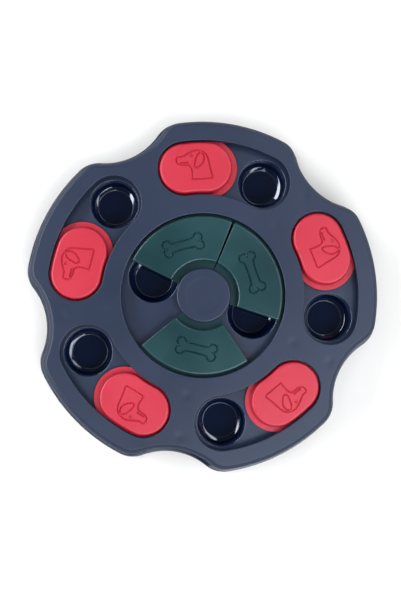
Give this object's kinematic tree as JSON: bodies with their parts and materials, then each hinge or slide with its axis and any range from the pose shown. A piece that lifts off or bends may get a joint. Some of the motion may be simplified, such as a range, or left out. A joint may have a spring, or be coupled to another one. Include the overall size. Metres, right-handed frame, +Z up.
{
  "type": "dog puzzle feeder",
  "caption": "Low round scalloped puzzle feeder with cup slots, sliding lids round the edge and a turning ring of wedge lids round a hub.",
  "frame": {"origin": "on the table under the middle of the hub, on the axis that every lid turns about", "axes": "+Z up out of the lids, +Y towards the first lobe, +X to its right"},
  "size_m": [0.2485, 0.2489, 0.0288],
  "materials": {
    "tray_plastic": "gloss near-black navy ABS",
    "cover_plastic": "satin navy ABS",
    "hub_plastic": "satin navy ABS",
    "slide_plastic": "satin coral red ABS",
    "wedge_plastic": "satin dark teal ABS",
    "pad_rubber": "matt black TPE",
    "screw_steel": "zinc plated"
  },
  "bodies": {
    "housing": {"base_tray": "tray_plastic", "top_cover": "cover_plastic", "hub_cap": "hub_plastic", "foot_1": "pad_rubber", "foot_2": "pad_rubber", "foot_3": "pad_rubber", "foot_4": "pad_rubber", "foot_5": "pad_rubber", "inner_screws": "screw_steel", "outer_screws": "screw_steel", "hub_screw": "screw_steel"},
    "slide_lid_1": {"slide_1": "slide_plastic"},
    "slide_lid_2": {"slide_2": "slide_plastic"},
    "slide_lid_3": {"slide_3": "slide_plastic"},
    "slide_lid_4": {"slide_4": "slide_plastic"},
    "slide_lid_5": {"slide_5": "slide_plastic"},
    "wedge_lid_1": {"wedge_1": "wedge_plastic"},
    "wedge_lid_2": {"wedge_2": "wedge_plastic"},
    "wedge_lid_3": {"wedge_3": "wedge_plastic"}
  },
  "joints": [
    {"name": "slide_1_run", "type": "hinge", "parent": "housing", "child": "slide_lid_1", "pos_m": [0, 0, 0.0244], "axis": [0, 0, 1], "range_deg": [-26.2, 0]},
    {"name": "slide_2_run", "type": "hinge", "parent": "housing", "child": "slide_lid_2", "pos_m": [0, 0, 0.0244], "axis": [0, 0, 1], "range_deg": [-26.2, 0]},
    {"name": "slide_3_run", "type": "hinge", "parent": "housing", "child": "slide_lid_3", "pos_m": [0, 0, 0.0244], "axis": [0, 0, 1], "range_deg": [-26.2, 0]},
    {"name": "slide_4_run", "type": "hinge", "parent": "housing", "child": "slide_lid_4", "pos_m": [0, 0, 0.0244], "axis": [0, 0, 1], "range_deg": [-26.2, 0]},
    {"name": "slide_5_run", "type": "hinge", "parent": "housing", "child": "slide_lid_5", "pos_m": [0, 0, 0.0244], "axis": [0, 0, 1], "range_deg": [-26.2, 0]},
    {"name": "wedge_ring_turn", "type": "hinge", "parent": "housing", "child": "wedge_lid_1", "pos_m": [0, 0, 0.0244], "axis": [0, 0, 1], "continuous": true},
    {"name": "wedge_2_run", "type": "hinge", "parent": "wedge_lid_1", "child": "wedge_lid_2", "pos_m": [0, 0, 0.0244], "axis": [0, 0, 1], "range_deg": [0, 63.7]},
    {"name": "wedge_3_run", "type": "hinge", "parent": "wedge_lid_1", "child": "wedge_lid_3", "pos_m": [0, 0, 0.0244], "axis": [0, 0, 1], "range_deg": [0, 36.2]}
  ]
}
